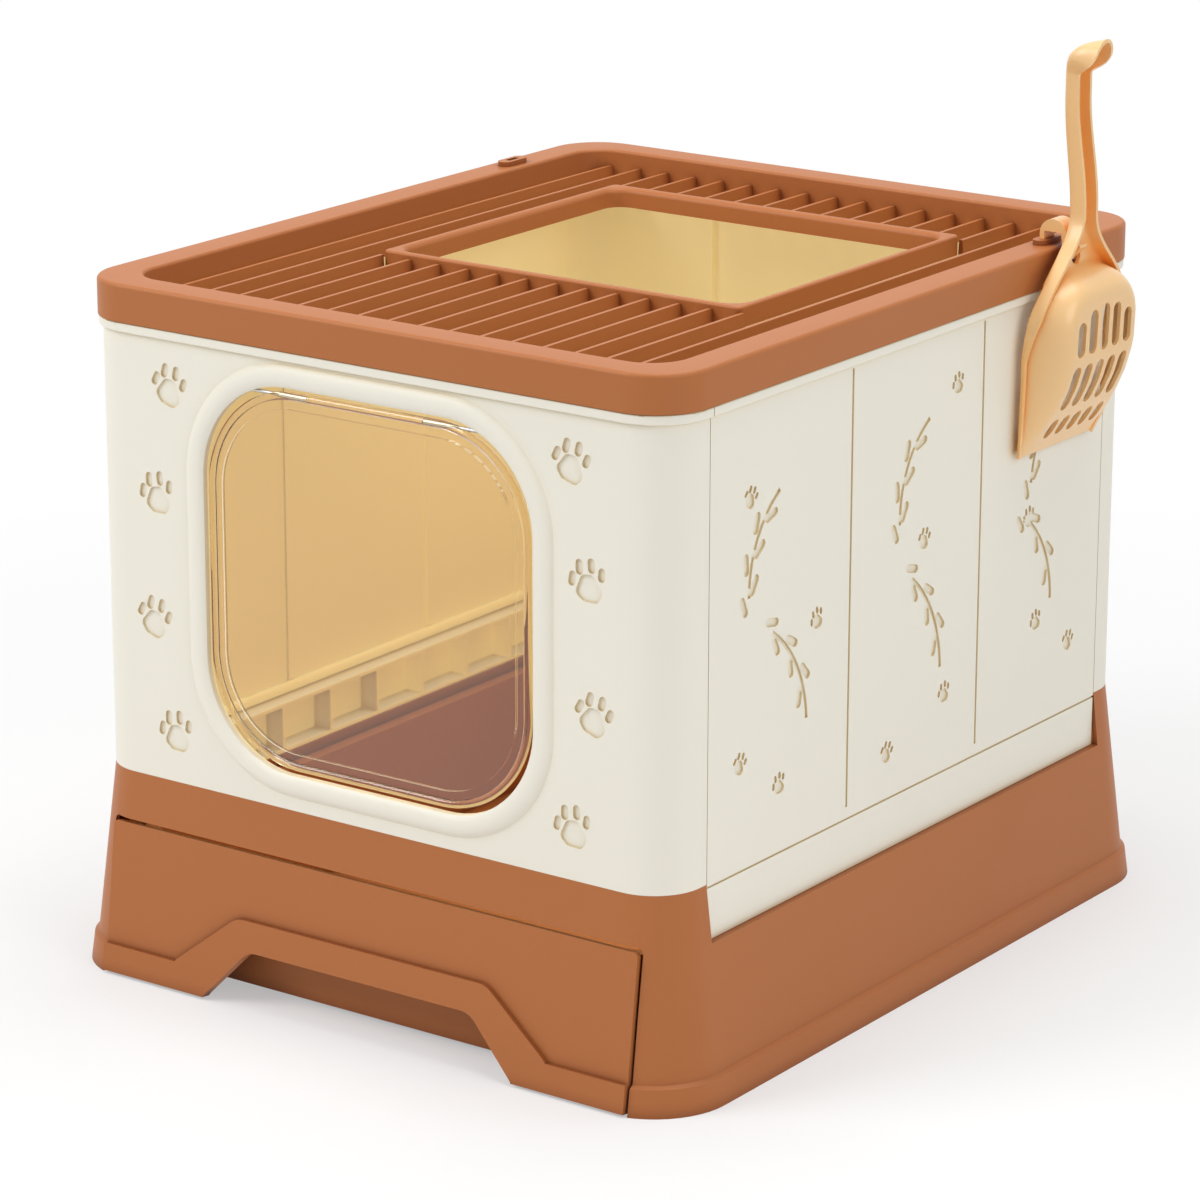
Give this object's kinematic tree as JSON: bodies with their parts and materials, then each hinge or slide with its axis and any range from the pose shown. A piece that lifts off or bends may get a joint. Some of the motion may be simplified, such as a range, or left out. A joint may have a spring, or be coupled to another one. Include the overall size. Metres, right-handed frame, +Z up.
{
  "type": "drawer litter box",
  "caption": "Covered box with folding side walls, clear swing door, slatted lift-off lid with a round-cornered top opening, pull-out tray under it and a hanging sifting scoop.",
  "frame": {"origin": "on the floor, under the middle of the base", "axes": "+X to the right along the front, +Y from front to back, +Z up"},
  "size_m": [0.4563, 0.525, 0.534],
  "materials": {
    "cream": "satin moulded cream plastic",
    "brown": "satin moulded brown plastic",
    "tan": "smooth moulded tan plastic",
    "clear": "clear tinted plastic sheet with a thick rim",
    "pin": "drawn wire"
  },
  "bodies": {
    "cabinet": {"base_frame": "brown", "left_hinge_rail": "cream", "right_hinge_rail": "cream", "left_hinge_pins": "pin", "right_hinge_pins": "pin", "front_panel": "cream", "rear_panel": "cream", "flap_pins": "pin"},
    "left_wall": {"left_side_panel": "cream"},
    "right_wall": {"right_side_panel": "cream"},
    "door": {"flap": "clear"},
    "lid": {"lid": "brown"},
    "hook": {"hook": "tan"},
    "scoop": {"scoop": "tan"},
    "drawer": {"drawer_tray": "brown", "drawer_front": "brown"}
  },
  "joints": [
    {"name": "drawer_slide", "type": "slide", "parent": "cabinet", "child": "drawer", "axis": [0, -1, 0], "range_m": [0, 0.4]},
    {"name": "door_swing", "type": "hinge", "parent": "cabinet", "child": "door", "pos_m": [0, -0.2433, 0.363], "axis": [-1, 0, 0], "range_deg": [-75, 75]},
    {"name": "left_wall_fold", "type": "hinge", "parent": "cabinet", "child": "left_wall", "pos_m": [-0.1985, 0, 0.124], "axis": [0, 1, 0], "range_deg": [0, 90]},
    {"name": "right_wall_fold", "type": "hinge", "parent": "cabinet", "child": "right_wall", "pos_m": [0.1985, 0, 0.124], "axis": [0, -1, 0], "range_deg": [0, 86]},
    {"name": "lid_lift", "type": "slide", "parent": "cabinet", "child": "lid", "axis": [0, 0, 1], "range_m": [0, 0.055]},
    {"name": "hook_lift", "type": "slide", "parent": "lid", "child": "hook", "axis": [0, 0, 1], "range_m": [0, 0.025]},
    {"name": "scoop_unhook", "type": "slide", "parent": "hook", "child": "scoop", "axis": [0.7071, 0, 0.7071], "range_m": [0, 0.06]}
  ]
}
